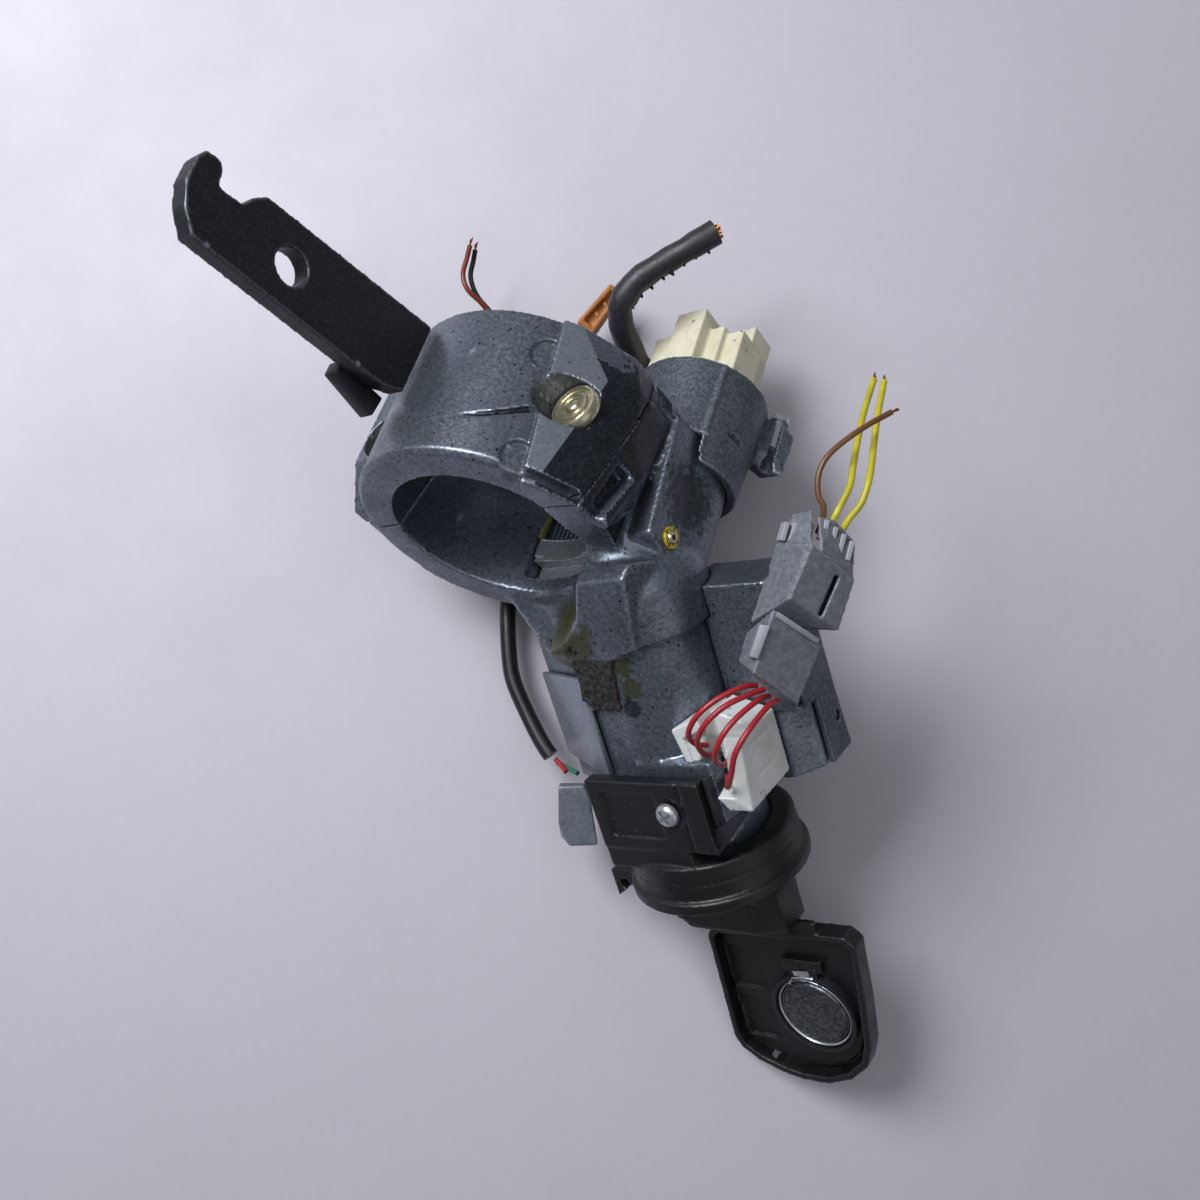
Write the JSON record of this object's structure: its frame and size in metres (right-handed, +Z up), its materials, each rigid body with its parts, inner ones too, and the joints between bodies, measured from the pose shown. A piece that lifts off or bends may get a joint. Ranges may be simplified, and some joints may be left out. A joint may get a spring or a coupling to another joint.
{
  "type": "ignition switch",
  "caption": "Used steering lock and ignition switch with column clamp, key barrel, key with open remote case, antenna ring, interlock solenoid and cut wiring.",
  "frame": {"origin": "bottom centre of the bounding box without the loose wiring, on the floor the assembly lies on", "axes": "+Z up as it lies; +Y from the key towards the bracket bar's end; +X to the right as the picture shows it"},
  "size_m": [0.1644, 0.2332, 0.107],
  "materials": {
    "clamp_cap": "rough cast",
    "lock_housing": "rough cast",
    "bracket_bar": "black coated steel",
    "bracket_gusset": "black coated steel",
    "shear_bolt_right": "yellow zinc plated",
    "shear_bolt_left": "yellow zinc plated",
    "lock_bolt": "greased",
    "bolt_spring": "spring steel",
    "roll_pin": "yellow plated",
    "key_plug": "worn",
    "key_blade": "worn",
    "key_bow": "black",
    "remote_case": "black",
    "coin_cell": "dull",
    "battery_clip": "bright",
    "antenna_ring": "black",
    "antenna_coil": "enamelled wire",
    "antenna_screw": "bright",
    "gallery_lid": "rough cast",
    "interlock_block": "rough cast",
    "interlock_cover": "rough cast",
    "solenoid_case": "white",
    "solenoid_coil": "enamelled wire",
    "solenoid_plunger": "ground",
    "key_warning_switch": "dark grey",
    "switch_cup": "rough cast",
    "switch_body": "cream",
    "switch_shaft": "machined",
    "contact_plate": "copper",
    "switch_screw": "plated",
    "grey_socket": "grey",
    "grey_plug": "grey",
    "tan_connector": "tan",
    "tumbler_1": "stamped",
    "tumbler_2": "stamped",
    "tumbler_3": "stamped",
    "tumbler_4": "stamped",
    "yellow_wire_a": "insulated wire",
    "yellow_wire_b": "insulated wire",
    "brown_wire": "insulated wire",
    "red_wire_1": "insulated wire",
    "red_wire_2": "insulated wire",
    "red_wire_3": "insulated wire",
    "red_wire_4": "insulated wire",
    "taped_cable": "insulated wire",
    "rear_wire_a": "insulated wire",
    "rear_wire_b": "insulated wire",
    "sheathed_cable": "insulated wire",
    "warning_wire_red": "insulated wire",
    "warning_wire_green": "insulated wire"
  },
  "bodies": {
    "casting": {"clamp_cap": "clamp_cap", "lock_housing": "lock_housing", "bracket_bar": "bracket_bar", "bracket_gusset": "bracket_gusset", "shear_bolt_right": "shear_bolt_right", "shear_bolt_left": "shear_bolt_left", "bolt_spring": "bolt_spring", "roll_pin": "roll_pin", "antenna_ring": "antenna_ring", "antenna_coil": "antenna_coil", "antenna_screw": "antenna_screw", "gallery_lid": "gallery_lid", "interlock_block": "interlock_block", "interlock_cover": "interlock_cover", "solenoid_case": "solenoid_case", "solenoid_coil": "solenoid_coil", "key_warning_switch": "key_warning_switch", "switch_cup": "switch_cup", "switch_body": "switch_body", "contact_plate": "contact_plate", "switch_screw": "switch_screw", "grey_socket": "grey_socket", "grey_plug": "grey_plug", "tan_connector": "tan_connector", "yellow_wire_a": "yellow_wire_a", "yellow_wire_b": "yellow_wire_b", "brown_wire": "brown_wire", "red_wire_1": "red_wire_1", "red_wire_2": "red_wire_2", "red_wire_3": "red_wire_3", "red_wire_4": "red_wire_4", "taped_cable": "taped_cable", "rear_wire_a": "rear_wire_a", "rear_wire_b": "rear_wire_b", "sheathed_cable": "sheathed_cable", "warning_wire_red": "warning_wire_red", "warning_wire_green": "warning_wire_green"},
    "plug": {"key_plug": "key_plug", "tumbler_1": "tumbler_1", "tumbler_2": "tumbler_2", "tumbler_3": "tumbler_3", "tumbler_4": "tumbler_4"},
    "key": {"key_blade": "key_blade", "key_bow": "key_bow", "remote_case": "remote_case", "coin_cell": "coin_cell", "battery_clip": "battery_clip"},
    "bolt": {"lock_bolt": "lock_bolt"},
    "rotor": {"switch_shaft": "switch_shaft"},
    "plunger": {"solenoid_plunger": "solenoid_plunger"}
  },
  "joints": [
    {"name": "key_turn", "type": "hinge", "parent": "casting", "child": "plug", "pos_m": [0.03947, -0.04963, 0.03049], "axis": [0.2914, -0.9143, -0.2813], "range_deg": [-51, 66]},
    {"name": "key_pull", "type": "slide", "parent": "plug", "child": "key", "axis": [0.2914, -0.9143, -0.2813], "range_m": [0, 0.034]},
    {"name": "bolt_slide", "type": "slide", "parent": "casting", "child": "bolt", "axis": [-0.5552, 0.5176, 0.651], "range_m": [-0.0078, 0.006]},
    {"name": "switch_turn", "type": "hinge", "parent": "casting", "child": "rotor", "pos_m": [0.0241, 0.04931, 0.04056], "axis": [-0.2833, -0.8536, 0.4371], "range_deg": [-51, 66]},
    {"name": "plunger_slide", "type": "slide", "parent": "casting", "child": "plunger", "axis": [0.782, 0.0583, 0.6206], "range_m": [0, 0.0025], "stiffness_N_per_m": 100, "springref_m": -0.003}
  ],
  "couplings": [
    {"joint": "key_turn", "follows": "bolt_slide", "rad_per_m": -145.45},
    {"joint": "switch_turn", "follows": "bolt_slide", "rad_per_m": -145.45}
  ]
}
